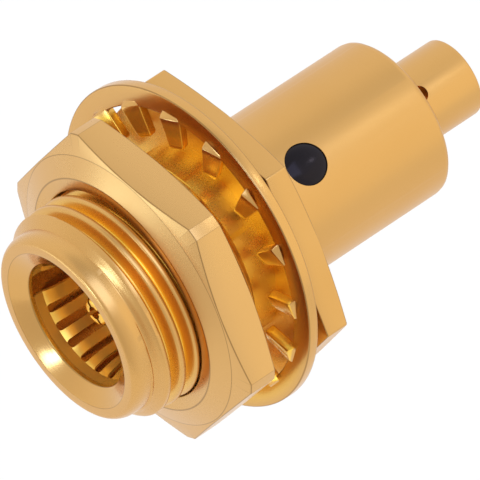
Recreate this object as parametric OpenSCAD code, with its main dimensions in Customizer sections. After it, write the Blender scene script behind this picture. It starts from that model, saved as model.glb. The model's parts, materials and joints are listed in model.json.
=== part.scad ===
// Blind-mate coaxial bulkhead connector with a soldered sleeve for semi-rigid cable.
// The connector's axis lies along Y and its mating mouth faces -Y.
// The origin is the centre of the hexagonal flange's front face, where the panel seats.

/* [Hexagons and thread] */
// Width of the flange across its flats
flange_af = 12.7; // [12:0.1:15]
// Thickness of the flange
flange_t = 1.25; // [0.8:0.05:2]
// Outside diameter of the panel thread
thread_d = 9.5; // [9.2:0.05:10]
// Pitch of the panel thread
thread_pitch = 0.794; // [0.5:0.001:1]

/* [Front end] */
// Length from the flange's front face to the front edge
front_len = 7.6; // [7:0.1:10]
// Length of the smooth nose ahead of the thread
nose_len = 0.84; // [0.7:0.02:1.4]
// Width of the round on the nose's front corner, across the axis
nose_round = 0.3; // [0.2:0.02:0.4]
// Length of that round along the axis
nose_round_len = 0.6; // [0.2:0.05:0.65]
// Diameter of the lead-in at the front edge
lead_in_d = 7.2; // [6.8:0.05:7.4]
// Depth of the lead-in
lead_in_depth = 0.47; // [0.3:0.01:0.7]
// Diameter of the lip that keeps the contact band in
lip_d = 5.7; // [5.5:0.05:5.9]
// Length of the lip
lip_len = 0.18; // [0.1:0.02:0.4]
// Depth of the groove behind the lip
groove_depth = 0.16; // [0.14:0.01:0.25]
// Length of the ledge between the contact band and the mouth's floor
ledge_len = 0.7; // [0.4:0.05:1]

/* [Rear end] */
// Diameter of the rear barrel
barrel_d = 7.25; // [6.5:0.05:8]
// Length of the rear barrel behind the flange
barrel_len = 8.85; // [7.5:0.05:10]
// Round on the barrel's rear edge
barrel_round = 0.3; // [0.1:0.05:0.5]
// Outside diameter of the solder sleeve
sleeve_d = 3.55; // [3:0.05:4.2]
// Length of the solder sleeve behind the barrel
sleeve_len = 3.45; // [2.5:0.05:5]
// Chamfer on the sleeve's rear edge
sleeve_chamfer = 0.12; // [0.05:0.01:0.25]
// Diameter of the bore for the cable's jacket
cable_bore_d = 2.25; // [2.1:0.01:2.6]
// Depth of the cable bore
cable_bore_depth = 5.4; // [4.5:0.1:6]
// Diameter of the hole for the cable's insulation
insulation_hole_d = 1.7; // [1.5:0.05:2]
// Length of the wall around that hole
insulation_hole_len = 1.15; // [0.8:0.05:1.6]
// Diameter of the solder inspection hole in the sleeve
inspection_d = 0.75; // [0.6:0.05:1.4]
// Distance of the inspection hole's centre behind the barrel
inspection_off = 0.75; // [0.7:0.05:1.4]

/* [Centre contact] */
// Diameter of the centre contact
contact_d = 1.27; // [1.1:0.01:1.4]
// Distance of the contact's tip behind the front edge
tip_recess = 1.5; // [1.2:0.05:2.5]
// Round on the contact's tip
tip_round = 0.2; // [0.1:0.02:0.26]
// Diameter of the socket at each end of the contact
socket_d = 0.6; // [0.4:0.02:0.7]
// Depth of each socket
socket_depth = 3; // [2:0.1:4]
// Width of the slots that part the front socket's fingers
finger_slot_w = 0.16; // [0.1:0.02:0.25]
// Length of the finger slots
finger_slot_len = 2.4; // [1.5:0.1:3]
// Diameter of the contact inside its epoxy groove
captive_groove_d = 0.86; // [0.8:0.02:1]
// Width of the epoxy groove
captive_groove_w = 1.1; // [0.8:0.05:1.5]
// Gap between the contact's rear end and the floor behind it
contact_end_gap = 0.5; // [0.2:0.05:1]

/* [Insulator and epoxy] */
// Diameter of the insulator bead
bead_d = 4.25; // [3.8:0.05:4.6]
// Diameter of the epoxy hole
epoxy_d = 1.85; // [1.2:0.05:2]
// Distance of the epoxy hole behind the flange's front face
epoxy_y = 3.8; // [3.2:0.1:5]
// Direction of the epoxy and inspection holes, from +X towards +Z
hole_angle = 60; // [0:5:180]
// Height of the epoxy above the barrel
epoxy_proud = 0.08; // [0.02:0.01:0.15]

/* [Contact band] */
// Length of the band along the axis
band_len = 3.6; // [3:0.1:4]
// Thickness of the rolled strip
band_t = 0.13; // [0.1:0.01:0.18]
// Width of the plain strip at each end of the band
band_rim = 0.48; // [0.3:0.02:0.7]
// Height of the ribs' inward bow
band_bow = 0.24; // [0.15:0.01:0.35]
// Number of slot spaces in a full turn
band_pitches = 21; // [16:1:24]
// Width of a slot
band_slot_w = 0.4; // [0.3:0.02:0.45]
// Angle left open at the band's seam
band_seam = 24; // [15:1:35]
// Direction of the seam's middle, from +X towards +Z
band_seam_at = 182; // [0:1:359]

/* [Nut] */
// Width of the nut across its flats
nut_af = 12.75; // [12:0.05:15]
// Thickness of the nut
nut_t = 2.16; // [2:0.02:3]
// Gap between the nut's rear face and the flange
nut_gap = 2.54; // [2.3:0.02:2.6]
// Angle between the nut's flats and the flange's
nut_clocking = -2; // [-30:0.1:30]
// Slope of the nut's crowned front face
nut_crown = 22; // [10:1:25]
// Slope of the nut's front corner chamfer
nut_chamfer = 15; // [10:1:40]
// Slope of the nut's rear corner chamfer
nut_rear_chamfer = 13; // [8:1:30]
// Depth to which the nut's corners are turned down
nut_corner_cut = 0.15; // [0.1:0.01:0.3]
// Width of the countersink round the nut's thread
nut_sink = 0.42; // [0.2:0.02:0.8]
// Width of the flats' edge left outside the crown's circle
nut_edge = 0.08; // [0.02:0.01:0.15]

/* [Lock washer] */
// Outside diameter of the lock washer
washer_d = 14.7; // [13.5:0.1:16]
// Thickness of the lock washer
washer_t = 0.48; // [0.3:0.02:0.6]
// Width of the washer's plain rim
washer_rim = 0.95; // [0.8:0.05:1.3]
// Lean of the loose washer towards the flange
washer_lean = 4; // [0:0.1:5]
// Direction in which it leans, from +X towards +Z
washer_lean_at = 75; // [0:1:359]
// Distance of the washer's centre from the axis
washer_shift = 0.18; // [0:0.02:0.24]
// Direction of that distance, from +X towards +Z
washer_shift_at = 144; // [0:1:359]
// Number of teeth
tooth_count = 16; // [12:1:18]
// Width of a tooth at its root
tooth_w = 0.95; // [0.9:0.05:1.35]
// Share of that width left at the tooth's tip
tooth_taper = 0.66; // [0.5:0.02:0.7]
// Angle by which each tooth turns out of the rim's plane about its side
tooth_twist = 19; // [12:1:38]
// Length over which a tooth turns
tooth_bend = 0.2; // [0.2:0.05:0.6]

/* [Clearances] */
// Radial clearance between the thread and the nut
thread_clear = 0.06; // [0.03:0.01:0.1]
// Radial clearance between the thread and the washer's nearest teeth
washer_clear = 0.1; // [0.08:0.01:0.2]
// Clearance between the washer and the flange where it leans on it
washer_seat = 0.04; // [0.02:0.01:0.1]
// Clearance of the pieces held inside the body
seat_clear = 0.01; // [0.005:0.005:0.03]

/* [Hidden] */
$fn = 96;
past = 1;
thread_depth = 0.6134 * thread_pitch;
root_d = thread_d - 2 * thread_depth;
nose_d = root_d;
front_y = -front_len;
thread_front_y = front_y + nose_len;
relief_len = thread_pitch;
thread_turns = floor((-relief_len - thread_front_y) / thread_pitch);
barrel_end_y = flange_t + barrel_len;
sleeve_end_y = barrel_end_y + sleeve_len;
cable_stop_y = sleeve_end_y - cable_bore_depth;
bead_end_y = cable_stop_y - insulation_hole_len;
lip_y = front_y + lead_in_depth;
groove_y = lip_y + lip_len;
groove_d = lip_d + 2 * groove_depth;
ledge_y = groove_y + band_len + 2 * seat_clear;
floor_y = ledge_y + ledge_len;
band_y = groove_y + seat_clear;
band_r = groove_d / 2 - seat_clear;
rib_len = band_len - 2 * band_rim;
pitch_angle = 360 / band_pitches;
band_sweep = 360 - band_seam;
slot_count = floor(band_sweep / pitch_angle - 0.5);
slot_end = band_rim - 0.1 * band_slot_w;
tip_y = front_y + tip_recess;
contact_end_y = bead_end_y - contact_end_gap;
inspection_y = barrel_end_y + inspection_off;
nut_rear_y = -nut_gap;
nut_bore_d = thread_d + 2 * thread_clear;
nut_mouth_d = nut_bore_d + 2 * nut_sink;
nut_corner_d = nut_af / cos(30) - 2 * nut_corner_cut;
crown_d = nut_af - 2 * nut_edge;
crown_h = (crown_d - nut_mouth_d) / 2 * tan(nut_crown);
washer_y = -washer_seat - washer_t / 2 * cos(washer_lean) - washer_d / 2 * sin(washer_lean);
tooth_tip_r = thread_d / 2 + washer_clear + washer_shift;
rim_inner_r = washer_d / 2 - washer_rim;
tooth_root_r = rim_inner_r + washer_rim / 4;
tooth_len = tooth_root_r - tooth_tip_r;
gold = [0.86, 0.68, 0.40];

// Turns a revolved profile of [radius, place along the axis] onto the Y axis.
module along_axis() {
    rotate([-90, 0, 0]) children();
}

// Revolves a profile whose points are [radius, place along Y].
module turned(points) {
    along_axis() rotate_extrude() polygon(points);
}

// A plain cylinder on the axis from one place to another.
module round_bar(diameter, from_y, to_y) {
    translate([0, from_y, 0]) along_axis() cylinder(d = diameter, h = to_y - from_y);
}

// A hexagonal bar with flats above and below.
module hex_bar(across_flats, from_y, to_y) {
    translate([0, from_y, 0]) along_axis() cylinder(d = across_flats / cos(30), h = to_y - from_y, $fn = 6);
}

// A round hole that runs outwards from the axis in the direction of the epoxy hole.
module cross_drill(diameter, at_y, from_r, to_r) {
    translate([0, at_y, 0]) rotate([0, 90 - hole_angle, 0]) translate([0, 0, from_r])
        cylinder(d = diameter, h = to_r - from_r);
}

// The quarter round that ends a turned outline, as points from its flat face to its side.
function round_end(radius, end_y, across, along) =
    [for (a = [0 : 10 : 90]) [radius - across + across * sin(a), end_y + along * (1 - cos(a))]];

// The same points in the opposite order.
function reversed(points) = [for (i = [len(points) - 1 : -1 : 0]) points[i]];

// The thread as plain rings: each is a flank, a crest and a flank, in sixteenths of the pitch.
thread_rings = [
    for (turn = [0 : thread_turns - 1])
        for (step = [[0, 2], [1, 7], [1, 9], [0, 14]])
            [root_d / 2 + step[0] * thread_depth, thread_front_y + (turn + step[1] / 16) * thread_pitch]
];

// The body's outline behind and ahead of the flange, turned from one bar.
module body_outline() {
    turned(concat(
        [[0, front_y]],
        round_end(nose_d / 2, front_y, nose_round, nose_round_len),
        thread_rings,
        [
            [root_d / 2, flange_t / 2],
            [barrel_d / 2, flange_t / 2]
        ],
        reversed(round_end(barrel_d / 2, barrel_end_y, barrel_round, -barrel_round)),
        [
            [sleeve_d / 2, barrel_end_y],
            [sleeve_d / 2, sleeve_end_y - sleeve_chamfer],
            [sleeve_d / 2 - sleeve_chamfer, sleeve_end_y],
            [0, sleeve_end_y]
        ]
    ));
}

// The stepped bore: lead-in, lip, band groove, ledge, bead seat, insulation hole and cable bore.
module body_bore() {
    lead_past = past * (lead_in_d - lip_d) / 2 / lead_in_depth;
    turned([
        [0, front_y - past],
        [lead_in_d / 2 + lead_past, front_y - past],
        [lip_d / 2, lip_y],
        [lip_d / 2, groove_y],
        [groove_d / 2, groove_y],
        [groove_d / 2, ledge_y],
        [lip_d / 2, ledge_y],
        [lip_d / 2, floor_y],
        [bead_d / 2, floor_y],
        [bead_d / 2, bead_end_y],
        [insulation_hole_d / 2, bead_end_y],
        [insulation_hole_d / 2, cable_stop_y],
        [cable_bore_d / 2, cable_stop_y],
        [cable_bore_d / 2, sleeve_end_y + past],
        [0, sleeve_end_y + past]
    ]);
}

module body() {
    color(gold) difference() {
        union() {
            body_outline();
            hex_bar(flange_af, 0, flange_t);
        }
        body_bore();
        cross_drill(epoxy_d, epoxy_y, 0, barrel_d / 2 + past);
        cross_drill(inspection_d, inspection_y, 0, sleeve_d / 2 + past);
    }
}

// The nut's crowned front, chamfers and turned-down corners, as one turned outline.
module nut_outline() {
    corner_w = (nut_corner_d - crown_d) / 2;
    front = nut_rear_y - nut_t;
    turned([
        [0, nut_rear_y],
        [crown_d / 2, nut_rear_y],
        [nut_corner_d / 2, nut_rear_y - corner_w * tan(nut_rear_chamfer)],
        [nut_corner_d / 2, front + crown_h + corner_w * tan(nut_chamfer)],
        [crown_d / 2, front + crown_h],
        [nut_mouth_d / 2, front],
        [0, front]
    ]);
}

module hex_nut() {
    front = nut_rear_y - nut_t;
    color(gold) rotate([0, -nut_clocking, 0]) difference() {
        intersection() {
            hex_bar(nut_af, front, nut_rear_y);
            nut_outline();
        }
        round_bar(nut_bore_d, front - past, nut_rear_y + past);
        turned([
            [0, front - past],
            [nut_mouth_d / 2 + past, front - past],
            [nut_bore_d / 2, front + nut_sink],
            [0, front + nut_sink]
        ]);
    }
}

// Section of a tooth at its root, with the side about which it turns on the local axis.
module tooth_section() {
    translate([-washer_t / 2, -tooth_w]) square([washer_t, tooth_w]);
}

// One tooth: its root turns out of the rim's plane, and the rest runs straight towards the thread.
module twisted_tooth() {
    tip_scale = [1, tooth_taper];
    lap = washer_t / 20;
    translate([tooth_root_r, tooth_w / 2, 0]) rotate([0, -90, 0]) {
        linear_extrude(height = tooth_bend, twist = tooth_twist, slices = 5, segments = 8) tooth_section();
        translate([0, 0, tooth_bend - lap]) rotate([0, 0, -tooth_twist])
            linear_extrude(height = tooth_len - tooth_bend + lap, scale = tip_scale, slices = 1, segments = 4)
                tooth_section();
    }
}

// Puts the loose washer off the axis and leans it until it nearly meets the flange.
module washer_placed() {
    aside = [cos(washer_shift_at), 0, sin(washer_shift_at)];
    translate(washer_shift * aside + [0, washer_y, 0]) rotate([0, 90 - washer_lean_at, 0])
        rotate([-washer_lean, 0, 0]) rotate([0, washer_lean_at - 90, 0]) children();
}

module lock_washer() {
    color(gold) washer_placed() along_axis() {
        difference() {
            cylinder(d = washer_d, h = washer_t, center = true);
            cylinder(r = rim_inner_r, h = washer_t + past, center = true);
        }
        for (i = [0 : tooth_count - 1])
            rotate([0, 0, (i + 0.5) * 360 / tooth_count]) twisted_tooth();
    }
}

// How far the strip bows towards the axis at a place along its length.
function bow_at(y) = band_bow * max(0, 1 - pow((2 * y - band_len) / rib_len, 2));

// Section of the rolled strip: plain rims joined by ribs that bow towards the axis.
module band_section() {
    steps = 10;
    places = concat([0], [for (i = [0 : steps]) band_rim + i * rib_len / steps], [band_len]);
    outer = [for (y = places) [band_r - bow_at(y), y]];
    inner = [for (y = places) [band_r - band_t - bow_at(y), y]];
    polygon(concat(outer, reversed(inner)));
}

// Outline of a slot with round ends, its length along Y.
function slot_outline(width, straight) = concat(
    [for (a = [0 : 20 : 180]) [width / 2 * cos(a), straight / 2 + width / 2 * sin(a)]],
    [for (a = [180 : 20 : 360]) [width / 2 * cos(a), -straight / 2 + width / 2 * sin(a)]]
);

// A slot cut straight out through the strip.
module band_slot() {
    straight = band_len - 2 * slot_end - band_slot_w;
    translate([contact_d, band_y + band_len / 2, 0]) rotate([0, 90, 0])
        linear_extrude(height = band_r) polygon(slot_outline(band_slot_w, straight));
}

// The slots stand one space apart, counted from the seam.
module contact_band() {
    color(gold) rotate([0, band_seam / 2 - band_seam_at, 0]) difference() {
        translate([0, band_y, 0]) along_axis() rotate_extrude(angle = band_sweep) band_section();
        for (i = [1 : slot_count])
            rotate([0, band_sweep - i * pitch_angle, 0]) band_slot();
    }
}

module center_contact() {
    tip_r = contact_d / 2;
    color(gold) difference() {
        turned(concat(
            [[0, tip_y]],
            round_end(tip_r, tip_y, tip_round, tip_round),
            [
                [tip_r, epoxy_y - captive_groove_w / 2],
                [captive_groove_d / 2, epoxy_y - captive_groove_w / 2],
                [captive_groove_d / 2, epoxy_y + captive_groove_w / 2],
                [tip_r, epoxy_y + captive_groove_w / 2],
                [tip_r, contact_end_y],
                [0, contact_end_y]
            ]
        ));
        round_bar(socket_d, tip_y - past, tip_y + socket_depth);
        round_bar(socket_d, contact_end_y - socket_depth / 2, contact_end_y + past);
        for (turn = [45, 135])
            rotate([0, turn, 0]) translate([-contact_d, tip_y - past, -finger_slot_w / 2])
                cube([2 * contact_d, finger_slot_len + past, finger_slot_w]);
    }
}

module insulator_bead() {
    color("white") difference() {
        round_bar(bead_d - 2 * seat_clear, floor_y, bead_end_y - seat_clear);
        round_bar(contact_d + 2 * seat_clear, floor_y - past, bead_end_y + past);
        cross_drill(epoxy_d, epoxy_y, 0, bead_d);
    }
}

// The epoxy fills the cross hole and the contact's groove, so that the contact can't shift.
module epoxy_plug() {
    ring_w = captive_groove_w - 2 * seat_clear;
    color([0.05, 0.05, 0.06]) difference() {
        union() {
            intersection() {
                cross_drill(epoxy_d - 2 * seat_clear, epoxy_y, 0, barrel_d);
                round_bar(barrel_d + 2 * epoxy_proud, epoxy_y - epoxy_d, epoxy_y + epoxy_d);
            }
            round_bar(contact_d, epoxy_y - ring_w / 2, epoxy_y + ring_w / 2);
        }
        round_bar(captive_groove_d + 2 * seat_clear, epoxy_y - epoxy_d, epoxy_y + epoxy_d);
        round_bar(contact_d + 2 * seat_clear, epoxy_y - epoxy_d, epoxy_y - ring_w / 2);
        round_bar(contact_d + 2 * seat_clear, epoxy_y + ring_w / 2, epoxy_y + epoxy_d);
    }
}

body();
hex_nut();
lock_washer();
contact_band();
center_contact();
insulator_bead();
epoxy_plug();
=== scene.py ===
import json
import math

import bmesh
import bpy
import numpy as np
from bpy.props import FloatProperty, FloatVectorProperty, IntProperty, PointerProperty
from mathutils import Matrix, Vector

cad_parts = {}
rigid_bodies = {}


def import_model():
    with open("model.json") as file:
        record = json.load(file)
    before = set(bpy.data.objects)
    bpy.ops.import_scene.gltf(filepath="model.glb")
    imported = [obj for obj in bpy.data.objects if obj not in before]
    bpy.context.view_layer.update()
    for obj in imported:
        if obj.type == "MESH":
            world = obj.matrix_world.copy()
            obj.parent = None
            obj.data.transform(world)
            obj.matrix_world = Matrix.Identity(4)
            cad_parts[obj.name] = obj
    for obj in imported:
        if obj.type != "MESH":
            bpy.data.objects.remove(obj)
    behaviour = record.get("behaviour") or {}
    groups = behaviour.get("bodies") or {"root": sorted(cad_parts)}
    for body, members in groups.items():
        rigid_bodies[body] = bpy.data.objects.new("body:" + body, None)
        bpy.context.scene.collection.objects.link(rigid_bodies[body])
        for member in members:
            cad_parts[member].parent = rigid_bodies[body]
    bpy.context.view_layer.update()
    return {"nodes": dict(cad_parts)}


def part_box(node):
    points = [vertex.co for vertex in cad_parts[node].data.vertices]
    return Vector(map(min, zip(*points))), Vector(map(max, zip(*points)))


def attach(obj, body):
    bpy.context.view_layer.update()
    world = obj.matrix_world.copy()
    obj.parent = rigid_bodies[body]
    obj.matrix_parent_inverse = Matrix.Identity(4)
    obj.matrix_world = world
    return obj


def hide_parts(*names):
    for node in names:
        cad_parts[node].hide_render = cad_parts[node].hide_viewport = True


for leftover in list(bpy.data.objects):
    bpy.data.objects.remove(leftover)

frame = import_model()
body_low, body_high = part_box("body")
nut_low, nut_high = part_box("hex_nut")

bl_info = {
    "name": "Blind-mate coaxial connector",
    "version": (1, 0, 0),
    "blender": (4, 5, 0),
    "location": "3D View > Sidebar > Connector",
    "description": "Dresses the connector's solids with gold plate, thread, epoxy and a pale stage",
    "category": "Object",
}

MM = 0.001

FINE_ROUND = 0.07 * MM  # a round narrower than this is marked as an edge
ROUND_SHARE = 0.45  # largest share of a side that a round takes
TOUCHING = 1e-7  # points nearer than this become one
ON_FACE = 0.001 * MM  # points nearer than this to a face lie on it
JUST_PAST = 1.01  # widens a radius so that points at it count as within

BODY_STEPS, NUT_STEPS, WASHER_STEPS = 252, 240, 240  # steps round the axis
CORNER_STEPS = (-1.06, -1.0, -0.94, -0.5, 0.0, 0.5, 0.94, 1.0, 1.06)  # extra ones at a corner
CORNER_CLEAR = 0.6  # how far from those the even steps stay
ON_CORNER = 0.01  # share of a corner within which an angle lies on its side
HOLE_STEPS, EPOXY_RINGS = 72, 14
SHARP, NUT_SHARP, EPOXY_SHARP = 38.0, 16.0, 50.0  # degrees above which an edge stays sharp

# Painted dark line: share of the darker edge gold painted on fine rounds, standing in for their dark
# reflection.
PAINTED_EDGE_LINE_SHARE = 0.7  # share of the edge colour on a marked edge
POLISH_GAIN = 0.16  # how much a polished surface is smoother than the rest
RECESS_SCATTER = 0.15  # share of the light that a recess scatters
NOSE_POLISH = 0.4  # polish of the body ahead of the flange
# Painted glow: share of the brighter recess gold painted on the body's surfaces beside the washer,
# standing in for light bouncing in the gap.
WASHER_PAINTED_GLOW = 0.45  # recess mark of the body's surfaces beside the washer
CLOUD_SHARE = 0.7  # share of the clouds in the plate's mask, the rest is grain
DRIFT_SCALE = 400.0
TOOL_DEPTH = 0.01 * MM
EPOXY_RIPPLE = 0.02 * MM

THREAD_START = 1 / 6  # share of a turn by which the thread is turned about the axis
THREAD_RUN_IN = 1.3  # slope at which the thread rises at its ends
THREAD_FORM = (
    (0.00, 1.0), (0.03, 1.0), (0.06, 0.97), (0.09, 0.91), (0.13, 0.80), (0.19, 0.58), (0.26, 0.31),
    (0.31, 0.14), (0.35, 0.05), (0.40, 0.0), (0.60, 0.0), (0.65, 0.05), (0.69, 0.14), (0.74, 0.31),
    (0.81, 0.58), (0.87, 0.80), (0.91, 0.91), (0.94, 0.97), (0.97, 1.0),
)  # each is a place within one pitch and the share of the thread's depth cut away there

TOOTH_BEND_STEPS = 8
TOOTH_STEPS = (0.2, 0.4, 0.6, 0.8, 0.94, 0.986, 1.0)  # places from a tooth's bend to its tip
TOOTH_TIP_INSETS = (0.0, 0.03 * MM, 0.07 * MM)  # how far the last three draw in
TOOTH_CORNERS = ((1, 1, 0), (-1, 1, 90), (-1, -1, 180), (1, -1, 270))
TOOTH_ROOT = 0.75  # share of the rim's width at which a tooth starts

BAND_ROWS, BAND_COLUMNS, BAND_RIM_ROWS = 14, 6, 3  # faces along a slot, across half a rib, along a rim
BAND_BOW_POWER = 2.6  # how evenly the ribs' bow spreads along them
BAND_SLOT_LAP = 0.1  # share of a slot's width by which it runs into the rims

ROOM_DARK_SIDE = (0.416, -0.892, 0.174)
ROOM_AROUND = (
    (0.0, (1.06, 1.09, 1.16)),
    (1.0, (0.78, 0.78, 0.80)),
    (0.17, (1.06, 1.08, 1.14)),
    (0.50, (0.96, 0.96, 0.98)),
    (0.77, (0.86, 0.86, 0.88)),
)  # the room's colour by how nearly a direction faces its dark side
ROOM_UPWARD = ((0.0, 0.75), (1.0, 0.62), (0.25, 0.95), (0.88, 1.0), (0.96, 0.68))  # from below to above

FLOOR_HALF, FLOOR_LEVEL = 0.1, -0.06
FLOOR_GLOW = 0.1
LAMPS = (
    ("overhead_lamp", (0.37, -0.20, 0.91), 0.5, 0.31, 0.52, 2.5, (0.42, 0.56, 1.0)),
    ("front_lamp", (-0.13, -0.98, 0.12), 0.4, 0.06, 0.11, 11.0, (0.42, 0.62, 1.0)),
    ("side_lamp", (-0.484, -0.8055, -0.342), 0.3, 0.1, 0.1, 2.2, (0.5, 0.72, 1.0)),
    ("rear_lamp", (0.35, 0.54, 0.77), 0.4, 0.035, 0.035, 6.0, (0.7, 0.8, 1.0)),
    ("fill_lamp", (0.65, 0.70, 0.30), 0.5, 0.5, 0.5, 0.2, (1.0, 0.8, 0.1)),
)  # each is a name, a direction, a distance, a width, a depth, a radiance and a tint

CAMERA_RIGHT = (0.66306, 0.74844, -0.01389)
CAMERA_UP = (-0.54231, 0.49308, 0.68029)
CAMERA_BACK = (0.51600, -0.44354, 0.73283)
CAMERA_PLACE = (0.17880, -0.15196, 0.25258)
CAMERA_SENSOR, CAMERA_LENS = 36.0, 636.4
CAMERA_NEAR, CAMERA_FAR = 0.01, 10.0


def length(name, millimetres, description):
    """A length that shows in the panel in the scene's own unit."""
    return FloatProperty(
        name=name, description=description, default=millimetres * MM, unit="LENGTH", precision=5
    )


def angle(name, degrees, description):
    """An angle that shows in the panel in degrees."""
    return FloatProperty(
        name=name, description=description, default=math.radians(degrees), subtype="ANGLE"
    )


def colour(name, rgb, description):
    """A surface colour, as scene-linear red, green and blue."""
    return FloatVectorProperty(
        name=name, description=description, default=rgb, subtype="COLOR", min=0, max=1
    )


class ConnectorSizes(bpy.types.PropertyGroup):
    """Sizes of the connector's pieces."""

    front_y: length("Front edge", body_low.y / MM, "Place of the front edge on the axis")
    rear_y: length("Rear end", body_high.y / MM, "Place of the sleeve's rear end on the axis")
    edge_break: length("Edge break", 0.05, "Width of the small round on machined edges")
    nose_r: length("Nose radius", 4.263, "Radius of the smooth nose and of the thread's root")
    nose_len: length("Nose length", 0.84, "Length of the nose ahead of the thread")
    nose_round: length("Nose round", 0.3, "Width of the nose's front round across the axis")
    nose_round_len: length("Nose round length", 0.6, "Length of that round along the axis")
    lead_in_r: length("Lead-in radius", 3.6, "Radius of the lead-in at the front edge")
    lip_r: length("Lip radius", 2.85, "Radius of the lip behind the lead-in")
    lip_y: length("Lip", -7.13, "Place of the lip's front edge on the axis")
    groove_r: length("Groove radius", 3.01, "Radius of the contact band's groove")
    groove_y: length("Groove", -6.95, "Place of the groove's front wall on the axis")
    ledge_y: length("Ledge", -3.33, "Place of the groove's rear wall on the axis")
    floor_y: length("Mouth floor", -2.63, "Place of the mouth's floor on the axis")
    bead_r: length("Bead seat radius", 2.125, "Radius of the bore that holds the insulator")
    bead_end_y: length("Bead seat end", 7.0, "Place of the bead seat's rear wall on the axis")
    core_hole_r: length("Core hole radius", 0.85, "Radius of the hole for the cable's insulation")
    cable_stop_y: length("Cable stop", 8.15, "Place of the step that stops the cable's jacket")
    cable_r: length("Cable bore radius", 1.125, "Radius of the bore for the cable's jacket")
    thread_r: length("Thread radius", 4.75, "Radius of the thread's crests")
    thread_pitch: length("Thread pitch", 0.794, "Distance between the thread's crests")
    thread_turns: IntProperty(name="Thread turns", description="Turns of the thread", default=7)
    flange_af: length("Flange across flats", 12.7, "Width of the flange across its flats")
    flange_t: length("Flange thickness", 1.25, "Thickness of the flange")
    flange_chamfer: angle("Flange chamfer", 12, "Slope of the flange's rear corner chamfer")
    flange_corner: length("Flange corner", 0.12, "Round on the flange's corners")
    barrel_r: length("Barrel radius", 3.625, "Radius of the rear barrel")
    barrel_end_y: length("Barrel end", 10.1, "Place of the barrel's rear face on the axis")
    barrel_round: length("Barrel round", 0.3, "Round on the barrel's rear edge")
    barrel_fillet: length("Barrel fillet", 0.08, "Round where the barrel meets the flange")
    sleeve_r: length("Sleeve radius", 1.775, "Radius of the solder sleeve")
    sleeve_chamfer: length("Sleeve chamfer", 0.12, "Chamfer on the sleeve's rear edge")
    sleeve_fillet: length("Sleeve fillet", 0.05, "Round where the sleeve meets the barrel")
    hole_angle: angle("Hole direction", 60, "Direction of the cross holes, from +X towards +Z")
    epoxy_r: length("Epoxy radius", 0.915, "Radius of the epoxy in its hole")
    epoxy_y: length("Epoxy place", 3.8, "Place of the epoxy hole on the axis")
    epoxy_proud: length("Epoxy height", 0.08, "Height of the epoxy's middle above the barrel")
    epoxy_fall: length("Epoxy fall", 0.05, "Depth to which the epoxy falls at its rim")
    epoxy_depth: length("Epoxy depth", 1.2, "Depth of the epoxy under the barrel's surface")
    epoxy_gap: length("Epoxy gap", 0.01, "Gap between the epoxy and its hole")
    inspection_r: length("Inspection hole radius", 0.375, "Radius of the solder inspection hole")
    inspection_y: length("Inspection hole", 10.85, "Place of the inspection hole on the axis")
    nut_af: length("Nut across flats", 12.75, "Width of the nut across its flats")
    nut_bore_r: length("Nut bore radius", 4.81, "Radius of the nut's bore")
    nut_rear_y: length("Nut rear face", nut_high.y / MM, "Place of the nut's rear face on the axis")
    nut_front_y: length("Nut front face", nut_low.y / MM, "Place of the nut's front edge on the axis")
    nut_rim_r: length("Nut rim radius", 5.23, "Radius at which the crown meets the nut's front face")
    nut_ring: length("Nut ring", 0.58, "Width of the nearly flat ring round the nut's bore")
    nut_ring_slope: angle("Nut ring slope", 6, "Slope of that ring towards the bore")
    nut_edge: length("Nut edge", 0.08, "Width of the flats' edge left outside the crown")
    nut_crown: angle("Nut crown", 22, "Slope of the nut's crowned front")
    nut_chamfer: angle("Nut chamfer", 15, "Slope of the nut's front corner chamfer")
    nut_rear_chamfer: angle("Nut rear chamfer", 13, "Slope of the nut's rear corner chamfer")
    nut_corner_cut: length("Nut corner cut", 0.15, "Depth to which the corners are turned down")
    nut_clocking: angle("Nut clocking", -2, "Angle between the nut's flats and the flange's")
    washer_r: length("Washer radius", 7.348, "Outside radius of the lock washer")
    washer_t: length("Washer thickness", 0.48, "Thickness of the lock washer")
    washer_rim: length("Washer rim", 0.95, "Width of the washer's plain rim")
    washer_y: length("Washer place", -0.7921, "Place of the washer's middle on the axis")
    washer_lean: angle("Washer lean", 4, "Lean of the loose washer towards the flange")
    washer_lean_at: angle("Washer lean direction", 75, "Direction in which the washer leans")
    washer_shift: length("Washer shift", 0.18, "Distance of the washer's centre from the axis")
    washer_shift_at: angle("Washer shift direction", 144, "Direction of that distance")
    washer_edge: length("Washer edge", 0.06, "Round on the washer's edges")
    tooth_count: IntProperty(name="Teeth", description="Number of the washer's teeth", default=16)
    tooth_tip_r: length("Tooth tip radius", 5.03, "Radius of the teeth's tips")
    tooth_w: length("Tooth width", 0.95, "Width of a tooth at its root")
    tooth_taper: FloatProperty(
        name="Tooth taper", description="Share of a tooth's width left at its tip", default=0.66
    )
    tooth_twist: angle("Tooth twist", 19, "Angle by which a tooth turns out of the rim's plane")
    tooth_bend: length("Tooth bend", 0.2, "Length over which a tooth turns")
    tooth_round: length("Tooth round", 0.07, "Round on the teeth's edges")
    band_r: length("Band radius", 3.0, "Outside radius of the contact band")
    band_t: length("Band thickness", 0.13, "Thickness of the contact band")
    band_len: length("Band length", 3.6, "Length of the contact band")
    band_y: length("Band place", -6.94, "Place of the band's front edge on the axis")
    band_rim: length("Band rim", 0.48, "Width of the plain strip at the band's ends")
    band_bow: length("Band bow", 0.24, "Height of the ribs' inward bow")
    band_pitches: IntProperty(
        name="Band slot spaces", description="Number of slot spaces in a full turn", default=21
    )
    band_slot_w: length("Band slot width", 0.4, "Width of a slot in the band")
    band_seam: angle("Band seam", 24, "Angle left open at the band's seam")
    band_seam_at: angle("Band seam direction", 182, "Direction of the seam, from +X towards +Z")


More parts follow.
